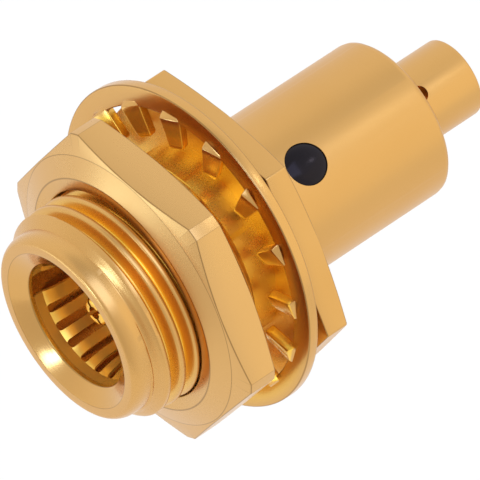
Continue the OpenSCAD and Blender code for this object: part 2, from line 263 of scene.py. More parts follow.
class ConnectorColours(bpy.types.PropertyGroup):
    """Colours of the connector's finishes."""

    gold: colour("Gold", (0.69, 0.39, 0.13), "Gold plate where it is clean")
    gold_deep: colour("Deep gold", (0.67, 0.36, 0.10), "Gold plate where it is richer")
    gold_milled: colour("Milled gold", (0.70, 0.41, 0.145), "Gold plate on the nut's milled flats")
    # Painted glow: a brighter, more saturated gold painted into recesses, standing in for light
    # bouncing between the gold walls there.
    gold_painted_glow: colour("Recessed gold", (0.98, 0.58, 0.07), "Gold plate where nothing rubs it")
    # Painted glow: a brighter copy of the gold for the pieces deep in the mouth, standing in for light
    # that reaches and bounces inside it.
    gold_painted_mouth_glow: colour("Bright gold", (1.0, 0.57, 0.10), "Gold plate on the springs in the mouth")
    # Painted dark line: a darker gold painted along fine rounds, standing in for the dark reflection
    # such rounds show.
    gold_painted_edge_line: colour("Gold edge", (0.28, 0.15, 0.05), "Gold plate along worn edges")
    epoxy: colour("Epoxy", (0.006, 0.006, 0.007), "Black epoxy")
    bead: colour("Insulator", (0.82, 0.81, 0.77), "White insulator")
    floor: colour("Floor", (0.87, 0.83, 0.73), "Pale floor")


def hex_radius(turn, across_flats, corner_round, clocking=0.0):
    """Distance from the axis to the side of a hexagon with flats above and below."""
    sixth = math.pi / 3
    off = abs((turn - clocking) % sixth - sixth / 2)
    from_corner = sixth / 2 - off
    centre = (across_flats / 2 - corner_round) / math.cos(sixth / 2)
    reach = math.atan2(corner_round / 2, centre + corner_round * math.cos(sixth / 2))
    if from_corner < reach:
        inside = corner_round**2 - (centre * math.sin(from_corner)) ** 2
        return centre * math.cos(from_corner) + math.sqrt(max(inside, 0.0))
    return across_flats / 2 / math.cos(off)


def turns(count, corner_round=0.0, across_flats=1.0, clocking=0.0):
    """Angles round the axis, with extra ones at a hexagon's rounded corners."""
    angles = [2 * math.pi * i / count for i in range(count)]
    if corner_round:
        reach = corner_round / across_flats
        extra = [
            (clocking + k * math.pi / 3 + reach * step) % (2 * math.pi)
            for k in range(6)
            for step in CORNER_STEPS
        ]
        clear = reach * CORNER_CLEAR
        angles = [a for a in angles if min(abs(a - e) for e in extra) > clear] + extra
    return np.array(sorted(angles))


def broken(corners):
    """A closed outline of (radius, y, round) corners, with each round put in as four points.

    A point is (radius, y, mark), and the mark is 1 in the middle of a fine round.
    """
    points = np.array([c[:2] for c in corners])
    outline = []
    for i, (_, _, size) in enumerate(corners):
        here, back, ahead = points[i], points[i - 1], points[(i + 1) % len(points)]
        if size == 0:
            outline.append((*here, 0.0))
            continue
        to_back, to_ahead = back - here, ahead - here
        long_back, long_ahead = np.linalg.norm(to_back), np.linalg.norm(to_ahead)
        set_back = min(size, ROUND_SHARE * long_back, ROUND_SHARE * long_ahead)
        start = here + to_back * (set_back / max(long_back, 1e-12))
        end = here + to_ahead * (set_back / max(long_ahead, 1e-12))
        fine = 1.0 if size < FINE_ROUND else 0.0
        for t, mark in ((0, 0.0), (1 / 3, fine), (2 / 3, fine), (1, 0.0)):
            point = (1 - t) ** 2 * start + 2 * t * (1 - t) * here + t * t * end
            outline.append((*point, mark))
    return outline


def swept(name, angles, outline_at, joined=True):
    """A mesh whose closed outline, given at each angle, is swept round the Y axis."""
    outlines = np.array([outline_at(a) for a in angles])
    count, size = outlines.shape[:2]
    radius, along, marks = outlines[..., 0], outlines[..., 1], outlines[..., 2]
    points = np.stack(
        [radius * np.cos(angles)[:, None], along, radius * np.sin(angles)[:, None]], -1
    )
    i, j = np.meshgrid(np.arange(count if joined else count - 1), np.arange(size), indexing="ij")
    i_next, j_next = (i + 1) % count, (j + 1) % size
    corners = [i * size + j, i * size + j_next, i_next * size + j_next, i_next * size + j]
    faces = np.stack(corners, -1).reshape(-1, 4)
    mesh = bpy.data.meshes.new(name)
    mesh.from_pydata(points.reshape(-1, 3).tolist(), [], faces.tolist())
    mesh.attributes.new("edge", "FLOAT", "POINT").data.foreach_set("value", marks.ravel())
    return mesh


def ring_faces(rows, ring):
    """Faces that join rows of points, each row a closed ring."""
    return [
        (a, b, b + ring, a + ring)
        for i in range(rows - 1)
        for a, b in ((i * ring + k, i * ring + (k + 1) % ring) for k in range(ring))
    ]


def marked(piece, name, share_at):
    """Gives each point of a piece a mark that depends on its radius and its place."""
    count = len(piece.data.vertices)
    points = np.empty(count * 3)
    piece.data.vertices.foreach_get("co", points)
    x, along, z = points.reshape(-1, 3).T
    shares = np.asarray(share_at(np.hypot(x, z), along), float)
    piece.data.attributes.new(name, "FLOAT", "POINT").data.foreach_set("value", shares)


def tidied(mesh, sharp_above=SHARP):
    """Welds and orients a mesh, and shades it smooth apart from its sharp edges."""
    work = bmesh.new()
    work.from_mesh(mesh)
    bmesh.ops.remove_doubles(work, verts=work.verts, dist=TOUCHING)
    bmesh.ops.dissolve_degenerate(work, dist=TOUCHING / 10, edges=work.edges)
    bmesh.ops.recalc_face_normals(work, faces=work.faces)
    limit = math.radians(sharp_above)
    for edge in work.edges:
        edge.smooth = len(edge.link_faces) == 2 and edge.calc_face_angle(0) < limit
    for face in work.faces:
        face.smooth = True
    work.to_mesh(mesh)
    work.free()
    return mesh


def placed(mesh, material, body, replaced):
    """Puts a mesh in the scene on a body, in place of the solids that it stands for."""
    piece = bpy.data.objects.new(mesh.name, mesh)
    bpy.context.scene.collection.objects.link(piece)
    mesh.materials.clear()
    mesh.materials.append(material)
    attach(piece, body)
    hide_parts(replaced)
    return piece


def with_modifiers(piece):
    """Turns a piece's modifiers into plain mesh."""
    bpy.context.view_layer.update()
    made = bpy.data.meshes.new_from_object(
        piece.evaluated_get(bpy.context.evaluated_depsgraph_get())
    )
    made.name = piece.name
    piece.modifiers.clear()
    piece.data = made
    return piece


def weighted(piece):
    """Shades large faces flat up to the small rounds on their edges."""
    shade = piece.modifiers.new("large_faces_flat", "WEIGHTED_NORMAL")
    shade.keep_sharp = True
    shade.weight = 90
    return with_modifiers(piece)


def drilled(piece, holes):
    """Cuts round holes into a piece. Each hole is (y, radius, direction, from, to)."""
    for along, radius, direction, start, end in holes:
        drill = bpy.data.meshes.new("drill")
        work = bmesh.new()
        bmesh.ops.create_cone(
            work, cap_ends=True, segments=HOLE_STEPS, radius1=radius, radius2=radius, depth=end - start
        )
        work.to_mesh(drill)
        work.free()
        cutter = bpy.data.objects.new("drill", drill)
        bpy.context.scene.collection.objects.link(cutter)
        middle = (start + end) / 2
        cutter.matrix_world = (
            Matrix.Rotation(math.pi / 2 - direction, 4, "Y") @ Matrix.Translation((0, 0, middle))
        )
        cutter.matrix_world.translation.y = along
        cut = piece.modifiers.new("hole", "BOOLEAN")
        cut.operation = "DIFFERENCE"
        cut.solver = "EXACT"
        cut.object = cutter
        with_modifiers(piece)
        bpy.data.objects.remove(cutter)


def node_group(name, inputs, outputs):
    """A new shader node group with the given numbers in and out."""
    group = bpy.data.node_groups.new(name, "ShaderNodeTree")
    for label, value in inputs:
        socket = group.interface.new_socket(label, in_out="INPUT", socket_type="NodeSocketFloat")
        socket.default_value = value
    for label in outputs:
        group.interface.new_socket(label, in_out="OUTPUT", socket_type="NodeSocketFloat")
    return group, group.nodes.new("NodeGroupInput"), group.nodes.new("NodeGroupOutput")


def feed(tree, socket, value):
    """Links a socket to another, or gives it a plain value."""
    if isinstance(value, bpy.types.NodeSocket):
        tree.links.new(value, socket)
    else:
        socket.default_value = value


def maths(tree, operation, *values):
    """A Math node's result from sockets or numbers."""
    node = tree.nodes.new("ShaderNodeMath")
    node.operation = operation
    for socket, value in zip(node.inputs, values):
        feed(tree, socket, value)
    return node.outputs[0]


def noise(tree, vector, scale, detail=2.0):
    """A Noise Texture's value at a vector."""
    node = tree.nodes.new("ShaderNodeTexNoise")
    node.inputs["Detail"].default_value = detail
    feed(tree, node.inputs["Scale"], scale)
    feed(tree, node.inputs["Vector"], vector)
    return node.outputs[0]


def lathe_lines_group():
    """Fine tool lines round the axis, as a height."""
    group, given, made = node_group(
        "lathe_lines", [("Fineness", 9000.0), ("Drift", 0.4)], ["Height"]
    )
    place = group.nodes.new("ShaderNodeTexCoord").outputs["Object"]
    split = group.nodes.new("ShaderNodeSeparateXYZ")
    group.links.new(place, split.inputs[0])
    squares = [maths(group, "MULTIPLY", split.outputs[k], split.outputs[k]) for k in "XZ"]
    across = maths(group, "SQRT", maths(group, "ADD", *squares))
    wander = maths(group, "MULTIPLY", noise(group, place, DRIFT_SCALE), given.outputs["Drift"])
    joined = group.nodes.new("ShaderNodeCombineXYZ")
    for label, distance in (("X", across), ("Y", split.outputs["Y"])):
        finer = maths(group, "MULTIPLY", distance, given.outputs["Fineness"])
        group.links.new(finer, joined.inputs[label])
    group.links.new(wander, joined.inputs["Z"])
    line = noise(group, joined.outputs[0], scale=1.0, detail=1.0)
    group.links.new(line, made.inputs["Height"])


def plating_group():
    """Soft clouds and fine grain, as a mask, a roughness and the grain alone."""
    group, given, made = node_group(
        "plating",
        [("Cloud Scale", 260.0), ("Grain Scale", 16000.0), ("Roughness", 0.25), ("Spread", 0.1)],
        ["Mask", "Roughness", "Grain"],
    )
    place = group.nodes.new("ShaderNodeTexCoord").outputs["Object"]
    cloud = noise(group, place, given.outputs["Cloud Scale"], detail=4.0)
    grain = noise(group, place, given.outputs["Grain Scale"], detail=1.0)
    clouds = maths(group, "MULTIPLY", cloud, CLOUD_SHARE)
    mask = maths(group, "ADD", clouds, maths(group, "MULTIPLY", grain, 1 - CLOUD_SHARE))
    swing = maths(group, "MULTIPLY", maths(group, "SUBTRACT", mask, 0.5), given.outputs["Spread"])
    group.links.new(mask, made.inputs["Mask"])
    rough = maths(group, "ADD", given.outputs["Roughness"], swing)
    group.links.new(rough, made.inputs["Roughness"])
    group.links.new(grain, made.inputs["Grain"])


def placed_group(tree, name, **values):
    """A shared node group placed in a material with its own values."""
    node = tree.nodes.new("ShaderNodeGroup")
    node.node_tree = bpy.data.node_groups[name]
    for label, value in values.items():
        node.inputs[label.replace("_", " ")].default_value = value
    return node


def new_material(name):
    """A material with its Principled shader ready to set."""
    material = bpy.data.materials.new(name)
    material.use_nodes = True
    return material, material.node_tree, material.node_tree.nodes["Principled BSDF"]


def opaque(rgb):
    """A colour with its alpha."""
    return (*rgb, 1.0)


def mixed(tree, share, first, second, blend="MIX"):
    """A colour made of two, each a socket or a plain colour."""
    node = tree.nodes.new("ShaderNodeMix")
    node.data_type, node.blend_type = "RGBA", blend
    feed(tree, node.inputs["Factor"], share)
    feed(tree, node.inputs["A"], first)
    feed(tree, node.inputs["B"], second)
    return node.outputs["Result"]


def bumped(tree, shader, height, strength, distance):
    """Gives a shader a relief."""
    bump = tree.nodes.new("ShaderNodeBump")
    bump.inputs["Strength"].default_value = strength
    bump.inputs["Distance"].default_value = distance
    tree.links.new(height, bump.inputs["Height"])
    tree.links.new(bump.outputs["Normal"], shader.inputs["Normal"])


def carried(tree, name):
    """A mark that a piece's points carry."""
    node = tree.nodes.new("ShaderNodeAttribute")
    node.attribute_name = name
    return node.outputs["Fac"]


def gold_finish(
    name, tones, roughness, spread, lines, fineness, drift=0.4, grain=0.0, metallic=None
):
    """Gold plate of two tones over machined metal, with tool lines of the given strength.

    Where a piece is marked, a painted glow of brighter amber gold covers its recesses, standing in for
    light bouncing between gold walls, and a painted dark line covers its fine rounds, standing in for
    their dark reflection. Without a metallic value, the plate also scatters some light in those marked
    recesses.
    """
    colours = bpy.context.scene.connector_colours
    material, tree, shader = new_material(name)
    plate = placed_group(tree, "plating", Roughness=roughness, Spread=spread)
    tool = placed_group(tree, "lathe_lines", Fineness=fineness, Drift=drift)
    # Painted glow: brighter amber gold in recesses, standing in for bounced light.
    recess = carried(tree, "recess")
    # Painted dark line along fine rounds, standing in for their dark reflection.
    painted_dark = maths(tree, "MULTIPLY", carried(tree, "edge"), PAINTED_EDGE_LINE_SHARE)
    tone = mixed(tree, plate.outputs["Mask"], *(opaque(tone) for tone in tones))
    tone = mixed(tree, recess, tone, opaque(colours.gold_painted_glow))
    tone = mixed(tree, painted_dark, tone, opaque(colours.gold_painted_edge_line))
    tree.links.new(tone, shader.inputs["Base Color"])
    gloss = maths(tree, "MULTIPLY", carried(tree, "polish"), POLISH_GAIN)
    rough = maths(tree, "SUBTRACT", plate.outputs["Roughness"], gloss)
    tree.links.new(rough, shader.inputs["Roughness"])
    if metallic is None:
        scatter = maths(tree, "MULTIPLY", recess, RECESS_SCATTER)
        metallic = maths(tree, "SUBTRACT", 1.0, scatter)
    feed(tree, shader.inputs["Metallic"], metallic)
    grains = maths(tree, "MULTIPLY", plate.outputs["Grain"], grain)
    bumped(tree, shader, maths(tree, "ADD", tool.outputs["Height"], grains), lines, TOOL_DEPTH)
    return material


def thread_rows(sizes, turn):
    """Rows of the right-hand thread at an angle, each following the helix round the axis."""
    start = sizes.front_y + sizes.nose_len
    end = start + sizes.thread_turns * sizes.thread_pitch
    depth = sizes.thread_r - sizes.nose_r
    rows = []
    for k in range(-1, sizes.thread_turns + 2):
        for share, cut in THREAD_FORM:
            along = start + (k + share + THREAD_START - turn / (2 * math.pi)) * sizes.thread_pitch
            along = min(max(along, start), end)
            lead = min(along - start, end - along) * THREAD_RUN_IN
            rows.append((sizes.nose_r + min(depth * (1 - cut), lead), along, 0))
    return rows


class CONNECTOR_OT_body(bpy.types.Operator):
    """Make the body: nose, thread, flange, barrel and solder sleeve"""

    bl_idname = "connector.body"
    bl_label = "Body"

    def execute(self, context):
        s, colours = context.scene.connector_sizes, context.scene.connector_colours
        edge = s.edge_break
        nose = [
            (
                s.nose_r - s.nose_round * (1 - math.sin(math.radians(a))),
                s.front_y + s.nose_round_len * (1 - math.cos(math.radians(a))),
            )
            for a in range(0, 91, 9)
        ]
        tail = [
            (s.barrel_r, s.flange_t, s.barrel_fillet),
            (s.barrel_r, s.barrel_end_y, s.barrel_round),
            (s.sleeve_r, s.barrel_end_y, s.sleeve_fillet),
            (s.sleeve_r, s.rear_y, s.sleeve_chamfer),
            (s.cable_r, s.rear_y, edge),
            (s.cable_r, s.cable_stop_y, 0),
            (s.core_hole_r, s.cable_stop_y, edge),
            (s.core_hole_r, s.bead_end_y, edge),
            (s.bead_r, s.bead_end_y, 0),
            (s.bead_r, s.floor_y, 0),
            (s.lip_r, s.floor_y, 0),
            (s.lip_r, s.ledge_y, edge),
            (s.groove_r, s.ledge_y, 0),
            (s.groove_r, s.groove_y, 0),
            (s.lip_r, s.groove_y, edge / 2),
            (s.lip_r, s.lip_y, edge),
            (s.lead_in_r, s.front_y, edge / 3),
        ]

        def outline_at(turn):
            side = hex_radius(turn, s.flange_af, s.flange_corner)
            corner_w = side - s.flange_af / 2
            rear = s.flange_t - corner_w * math.tan(s.flange_chamfer)
            flange = [
                (s.nose_r, 0, 0),
                (side, 0, edge),
                (side, rear, edge),
                (s.flange_af / 2 - edge, s.flange_t, edge / 2),
            ]
            front = [(r, y, 0) for r, y in nose]
            return broken(front + thread_rows(s, turn) + flange + tail)

        angles = np.append(turns(BODY_STEPS, s.flange_corner, s.flange_af), 2 * math.pi)
        mesh = tidied(swept("connector_body", angles, outline_at, joined=False))
        material = gold_finish(
            "gold_turned",
            (colours.gold, colours.gold_deep),
            roughness=0.34,
            spread=0.12,
            lines=0.2,
            fineness=8000.0,
        )
        piece = placed(mesh, material, "connector", "body")
        inside, outside = s.bead_r * 0.6, s.barrel_r * 1.2
        epoxy_hole = (s.epoxy_y, s.epoxy_r + s.epoxy_gap, s.hole_angle, inside, outside)
        inspection_hole = (s.inspection_y, s.inspection_r, s.hole_angle, 0.0, s.sleeve_r * 1.5)
        drilled(piece, (epoxy_hole, inspection_hole))
        tidied(piece.data)
        weighted(piece)
        thread_y = s.front_y + s.nose_len
        mouth_r = (s.lip_r + s.groove_r) / 2

        # Painted glow: the mouth, the rear bore, the thread's roots and the surfaces beside the washer
        # get brighter amber gold, standing in for light bouncing inside them.
        def recess(radius, along):
            in_mouth = (radius < mouth_r) & (along > s.lip_y) & (along < 0)
            in_bore = (radius < s.cable_r + 2 * edge) & (along > 0)
            in_thread = (radius < s.thread_r * JUST_PAST) & (along > thread_y)
            in_thread &= along < s.flange_t / 2
            by_washer = in_thread & (along > s.nut_rear_y) | (np.abs(along) < ON_FACE)
            depth = np.clip((s.thread_r - radius) / (s.thread_r - s.nose_r), 0.0, 1.0)
            depth *= in_thread * np.clip((along - thread_y) / s.thread_pitch - 0.5, 0.0, 1.0)
            return np.maximum(np.maximum(in_mouth | in_bore, WASHER_PAINTED_GLOW * by_washer), depth)

        marked(piece, "recess", recess)

        def polish(radius, along):
            in_lead = (radius < s.lead_in_r * JUST_PAST) & (along < s.lip_y + 1.5 * edge)
            return np.maximum(in_lead, NOSE_POLISH * (along < s.flange_t / 2))

        marked(piece, "polish", polish)
        return {"FINISHED"}


class CONNECTOR_OT_nut(bpy.types.Operator):
    """Make the hexagonal nut with its crowned front"""

    bl_idname = "connector.nut"
    bl_label = "Nut"

    def execute(self, context):
        s, colours = context.scene.connector_sizes, context.scene.connector_colours
        edge = s.edge_break
        crown_r = s.nut_af / 2 - s.nut_edge
        mouth_r = s.nut_bore_r + s.nut_ring
        crown_y = s.nut_front_y + (crown_r - s.nut_rim_r) * math.tan(s.nut_crown)
        mouth_y = s.nut_front_y + (mouth_r - s.nut_rim_r) * math.tan(s.nut_crown)
        corner_r = s.nut_af / math.sqrt(3) - s.nut_corner_cut
        strip = math.pi / 6 - math.acos(s.nut_af / 2 / corner_r)

        def outline_at(turn):
            side = min(hex_radius(turn, s.nut_af, 0, s.nut_clocking), corner_r)
            corner_w = side - crown_r
            outline = broken(
                [
                    (s.nut_bore_r, s.nut_rear_y, edge),
                    (crown_r, s.nut_rear_y, edge),
                    (side, s.nut_rear_y - corner_w * math.tan(s.nut_rear_chamfer), edge),
                    (side, crown_y + corner_w * math.tan(s.nut_chamfer), edge),
                    (crown_r, crown_y, edge / 2),
                    (mouth_r, mouth_y, edge),
                    (s.nut_bore_r, mouth_y + s.nut_ring * math.tan(s.nut_ring_slope), edge),
                ]
            )
            # The corner strips outside the crown take the edge mark, so the painted dark line covers
            # them too.
            off = (turn - s.nut_clocking + math.pi / 6) % (math.pi / 3) - math.pi / 6
            if abs(abs(off) - strip) < strip * ON_CORNER:
                outline = [(r, y, float(r > crown_r + edge) or m) for r, y, m in outline]
            return outline

        angles = turns(NUT_STEPS, strip * s.nut_af, s.nut_af, s.nut_clocking)
        mesh = tidied(swept("hexagonal_nut", angles, outline_at), NUT_SHARP)
        material = gold_finish(
            "gold_nut",
            (colours.gold_milled, colours.gold),
            roughness=0.28,
            spread=0.12,
            lines=0.12,
            fineness=8000.0,
        )
        piece = weighted(placed(mesh, material, "nut", "hex_nut"))
        # Painted glow: the nut's bore gets the brighter amber gold that stands in for bounced light.
        marked(piece, "recess", lambda radius, along: radius < s.nut_bore_r + edge / 2)
        return {"FINISHED"}


def tooth(s, turn):
    """Points and faces of one tooth, turned about its side, in the washer's own plane."""
    root_r = s.washer_r - s.washer_rim * TOOTH_ROOT
    bend_r = root_r - s.tooth_bend
    half_t, rounding = s.washer_t / 2, s.tooth_round
    bends = [k / TOOTH_BEND_STEPS for k in range(TOOTH_BEND_STEPS + 1)]
    rows = [(root_r + (bend_r - root_r) * share, share, 0.0) for share in bends]
    rows += [(bend_r + (s.tooth_tip_r - bend_r) * share, 1.0, share) for share in TOOTH_STEPS]
    insets = [0.0] * (len(rows) - len(TOOTH_TIP_INSETS)) + list(TOOTH_TIP_INSETS)
    points = []
    for (radius, bend, taper), pull in zip(rows, insets):
        width = s.tooth_w * (1 + (s.tooth_taper - 1) * taper)
        lean = s.tooth_twist * bend * bend * (3 - 2 * bend)
        across_c, across_h = width / 2, width / 2 - rounding - pull
        deep_h = half_t - rounding - pull
        for cx, cy, first in TOOTH_CORNERS:
            for k in range(4):
                a = math.radians(first + 30 * k)
                across = across_c + cx * across_h + rounding * math.cos(a)
                deep = cy * deep_h + rounding * math.sin(a)
                side = -s.tooth_w / 2 + across * math.cos(lean) + deep * math.sin(lean)
                along = deep * math.cos(lean) - across * math.sin(lean)
                points.append(
                    (
                        radius * math.cos(turn) - side * math.sin(turn),
                        along,
                        radius * math.sin(turn) + side * math.cos(turn),
                    )
                )
    ring, last = len(points) // len(rows), len(points)
    ends = [tuple(range(ring)), tuple(range(last - ring, last))]
    return points, ring_faces(len(rows), ring) + ends


class CONNECTOR_OT_washer(bpy.types.Operator):
    """Make the loose lock washer with its twisted teeth"""

    bl_idname = "connector.washer"
    bl_label = "Lock washer"

    def execute(self, context):
        s, colours = context.scene.connector_sizes, context.scene.connector_colours
        half_t, edge = s.washer_t / 2, s.washer_edge
        inner_r = s.washer_r - s.washer_rim
        corners = [
            (inner_r, -half_t, edge),
            (s.washer_r, -half_t, edge),
            (s.washer_r, half_t, edge),
            (inner_r, half_t, edge),
        ]
        rim = swept("lock_washer_rim", turns(WASHER_STEPS), lambda turn: broken(corners))
        work = bmesh.new()
        work.from_mesh(rim)
        for k in range(s.tooth_count):
            points, faces = tooth(s, -2 * math.pi * (k + 0.5) / s.tooth_count)
            made = [work.verts.new(p) for p in points]
            for face in faces:
                work.faces.new([made[i] for i in face])
        towards = Matrix.Rotation(math.pi / 2 - s.washer_lean_at, 4, "Y")
        lean = towards @ Matrix.Rotation(-s.washer_lean, 4, "X") @ towards.inverted()
        aside = Vector((math.cos(s.washer_shift_at), 0, math.sin(s.washer_shift_at)))
        place = Matrix.Translation(aside * s.washer_shift + Vector((0, s.washer_y, 0)))
        bmesh.ops.transform(work, matrix=place @ lean, verts=work.verts)
        mesh = bpy.data.meshes.new("toothed_lock_washer")
        work.to_mesh(mesh)
        work.free()
        tidied(mesh)
        material = gold_finish(
            "gold_stamped",
            (colours.gold, colours.gold_deep),
            roughness=0.24,
            spread=0.12,
            lines=0.15,
            fineness=6000.0,
            drift=1.5,
            grain=0.2,
        )
        piece = weighted(placed(mesh, material, "washer", "lock_washer"))
        # Painted glow: the teeth get the brighter amber gold that stands in for light bouncing in the
        # gap.
        marked(piece, "recess", lambda radius, along: radius < inner_r)
        return {"FINISHED"}


class CONNECTOR_OT_band(bpy.types.Operator):
    """Make the slotted contact band, rolled from a strip"""

    bl_idname = "connector.band"
    bl_label = "Contact band"

    def execute(self, context):
        s, colours = context.scene.connector_sizes, context.scene.connector_colours
        space = 2 * math.pi / s.band_pitches
        sweep = 2 * math.pi - s.band_seam
        count = int(sweep / space - 0.5)
        middle_r = s.band_r - s.band_t / 2
        half_slot = s.band_slot_w / 2 / middle_r
        slot_end = s.band_rim - BAND_SLOT_LAP * s.band_slot_w
        rib_len = s.band_len - 2 * s.band_rim
        rounds = [math.radians(a) for a in range(0, 91, 15)]
        first = [(slot_end + s.band_slot_w / 2 * (1 - math.cos(a)), math.sin(a)) for a in rounds]
        straight = s.band_len - 2 * first[-1][0]
        rim = [(slot_end * k / BAND_RIM_ROWS, 0.0) for k in range(BAND_RIM_ROWS)]
        rows = rim + first
        rows += [(first[-1][0] + straight * k / BAND_ROWS, 1.0) for k in range(1, BAND_ROWS)]
        rows += [(s.band_len - y, h) for y, h in reversed(rim + first)]
        begin = s.band_seam_at + s.band_seam / 2
        work = bmesh.new()

        def point(turn, y):
            bow = s.band_bow * max(0.0, 1 - abs((2 * y - s.band_len) / rib_len) ** BAND_BOW_POWER)
            radius = s.band_r - bow
            return work.verts.new((radius * math.cos(turn), s.band_y + y, radius * math.sin(turn)))

        def strip(left_at, right_at, columns):
            grid = [
                [
                    point(left_at(h) + (right_at(h) - left_at(h)) * c / columns, y)
                    for c in range(columns + 1)
                ]
                for y, h in rows
            ]
            for low, high in zip(grid, grid[1:]):
                for c in range(columns):
                    work.faces.new((low[c], low[c + 1], high[c + 1], high[c]))

        edges = [begin] + [begin + (i + 0.5) * space for i in range(1, count)] + [begin + sweep]
        for i in range(1, count + 1):
            at = begin + i * space
            strip(lambda h, a=edges[i - 1]: a, lambda h, a=at: a - half_slot * h, BAND_COLUMNS)
            strip(lambda h, a=at: a + half_slot * h, lambda h, a=edges[i]: a, BAND_COLUMNS)
        bmesh.ops.remove_doubles(work, verts=work.verts, dist=TOUCHING)
        bmesh.ops.recalc_face_normals(work, faces=work.faces)
        outward = sum(f.normal.x * f.calc_center_median().x for f in work.faces)
        if outward < 0:
            bmesh.ops.reverse_faces(work, faces=work.faces)
        mesh = bpy.data.meshes.new("slotted_contact_band")
        work.to_mesh(mesh)
        work.free()
        # Painted glow: the band is coloured in the brighter gold tones that stand in for light bouncing
        # inside the mouth.
        material = gold_finish(
            "gold_spring",
            (colours.gold_painted_mouth_glow, colours.gold_painted_glow),
            roughness=0.24,
            spread=0.1,
            lines=0.08,
            fineness=5000.0,
            drift=1.0,
            grain=0.2,
            metallic=0.7,
        )
        piece = placed(mesh, material, "connector", "contact_band")
        thick = piece.modifiers.new("strip_thickness", "SOLIDIFY")
        thick.thickness = s.band_t
        thick.offset = -1.0
        with_modifiers(piece)
        tidied(piece.data)
        weighted(piece)
        return {"FINISHED"}


class CONNECTOR_OT_contact(bpy.types.Operator):
    """Finish the centre contact and the insulator that carries it"""

    bl_idname = "connector.contact"
    bl_label = "Centre contact"

    def execute(self, context):
        colours = context.scene.connector_colours
        contact = frame["nodes"]["center_contact"]
        contact.data.materials.clear()
        # Painted glow: the contact is coloured in the brighter gold tones that stand in for light
        # bouncing inside the mouth.
        material = gold_finish(
            "gold_contact",
            (colours.gold_painted_mouth_glow, colours.gold_painted_glow),
            roughness=0.26,
            spread=0.1,
            lines=0.2,
            fineness=16000.0,
            metallic=1.0,
        )
        contact.data.materials.append(material)
        material, tree, shader = new_material("insulator_white")
        cloud = placed_group(tree, "plating", Cloud_Scale=500.0, Roughness=0.42, Spread=0.2)
        lines = placed_group(tree, "lathe_lines", Fineness=9000.0)
        shaded = opaque(c * 0.93 for c in colours.bead)
        tone = mixed(tree, cloud.outputs["Mask"], opaque(colours.bead), shaded)
        tree.links.new(tone, shader.inputs["Base Color"])
        tree.links.new(cloud.outputs["Roughness"], shader.inputs["Roughness"])
        shader.inputs["Subsurface Weight"].default_value = 0.15
        shader.inputs["Subsurface Radius"].default_value = (0.4 * MM, 0.4 * MM, 0.4 * MM)
        bumped(tree, shader, lines.outputs["Height"], 0.3, TOOL_DEPTH)
        bead = frame["nodes"]["insulator_bead"]
        bead.data.materials.clear()
        bead.data.materials.append(material)
        return {"FINISHED"}


class CONNECTOR_OT_epoxy(bpy.types.Operator):
    """Make the domed plug of black epoxy in the barrel"""

    bl_idname = "connector.epoxy"
    bl_label = "Epoxy"

    def execute(self, context):
        s, colours = context.scene.connector_sizes, context.scene.connector_colours
        outward = Vector((math.cos(s.hole_angle), 0, math.sin(s.hole_angle)))
        sideways = Vector((-math.sin(s.hole_angle), 0, math.cos(s.hole_angle)))
        along = Vector((0, 1, 0))
        rings, around = EPOXY_RINGS, HOLE_STEPS
        points = []

        def surface(u, v, lift):
            level = math.sqrt(s.barrel_r**2 - u * u) + lift
            return Vector((0, s.epoxy_y, 0)) + outward * level + sideways * u + along * v

        shares = [i / rings for i in range(1, rings + 1)]
        meniscus = [s.epoxy_proud * (1 - share**2) - s.epoxy_fall * share**6 for share in shares]
        for share, lift in [*zip(shares, meniscus), (1.0, -s.epoxy_depth)]:
            for k in range(around):
                a = 2 * math.pi * k / around
                u, v = s.epoxy_r * share * math.cos(a), s.epoxy_r * share * math.sin(a)
                points.append(surface(u, v, lift))
        middle, under = len(points), len(points) + 1
        points += [surface(0, 0, s.epoxy_proud), surface(0, 0, -s.epoxy_depth)]
        faces = ring_faces(rings + 1, around)
        low = rings * around
        for k in range(around):
            faces.append((middle, k, (k + 1) % around))
            faces.append((under, low + (k + 1) % around, low + k))
        mesh = bpy.data.meshes.new("epoxy_dome")
        mesh.from_pydata([tuple(p) for p in points], [], faces)
        tidied(mesh, EPOXY_SHARP)
        material, tree, shader = new_material("epoxy_black")
        cloud = placed_group(tree, "plating", Cloud_Scale=900.0, Roughness=0.16, Spread=0.1)
        paler = opaque(c * 1.8 for c in colours.epoxy)
        tone = mixed(tree, cloud.outputs["Mask"], opaque(colours.epoxy), paler)
        tree.links.new(tone, shader.inputs["Base Color"])
        tree.links.new(cloud.outputs["Roughness"], shader.inputs["Roughness"])
        shader.inputs["Specular IOR Level"].default_value = 0.2
        shader.inputs["Specular Tint"].default_value = (1.0, 0.75, 0.75, 1)
        bumped(tree, shader, cloud.outputs["Mask"], 0.2, EPOXY_RIPPLE)
        placed(mesh, material, "connector", "epoxy_plug")
        return {"FINISHED"}


def light(name, direction, distance, width, depth, radiance, tint):
    """A soft lamp that faces the connector, set by how bright its face looks."""
    data = bpy.data.lights.new(name, "AREA")
    data.shape = "RECTANGLE"
    data.size, data.size_y = width, depth
    data.energy = radiance * math.pi * width * depth
    data.color = tint
    lamp = bpy.data.objects.new(name, data)
    bpy.context.scene.collection.objects.link(lamp)
    outward = Vector(direction).normalized()
    upright = Vector((0, 1, 0)) if outward.z > 0.7 else Vector((0, 0, 1))
    across = upright.cross(outward).normalized()
    turn = Matrix((across, outward.cross(across), outward)).transposed().to_4x4()
    lamp.matrix_world = Matrix.Translation(outward * distance) @ turn
    lamp.visible_camera = False


def levels(tree, value, steps):
    """A colour ramp that gives each place along a value its level of light."""
    node = tree.nodes.new("ShaderNodeValToRGB")
    ramp = node.color_ramp
    for i, (position, rgb) in enumerate(steps):
        step = ramp.elements[i] if i < 2 else ramp.elements.new(position)
        step.position, step.color = position, opaque(rgb)
    tree.links.new(value, node.inputs[0])
    return node.outputs["Color"]


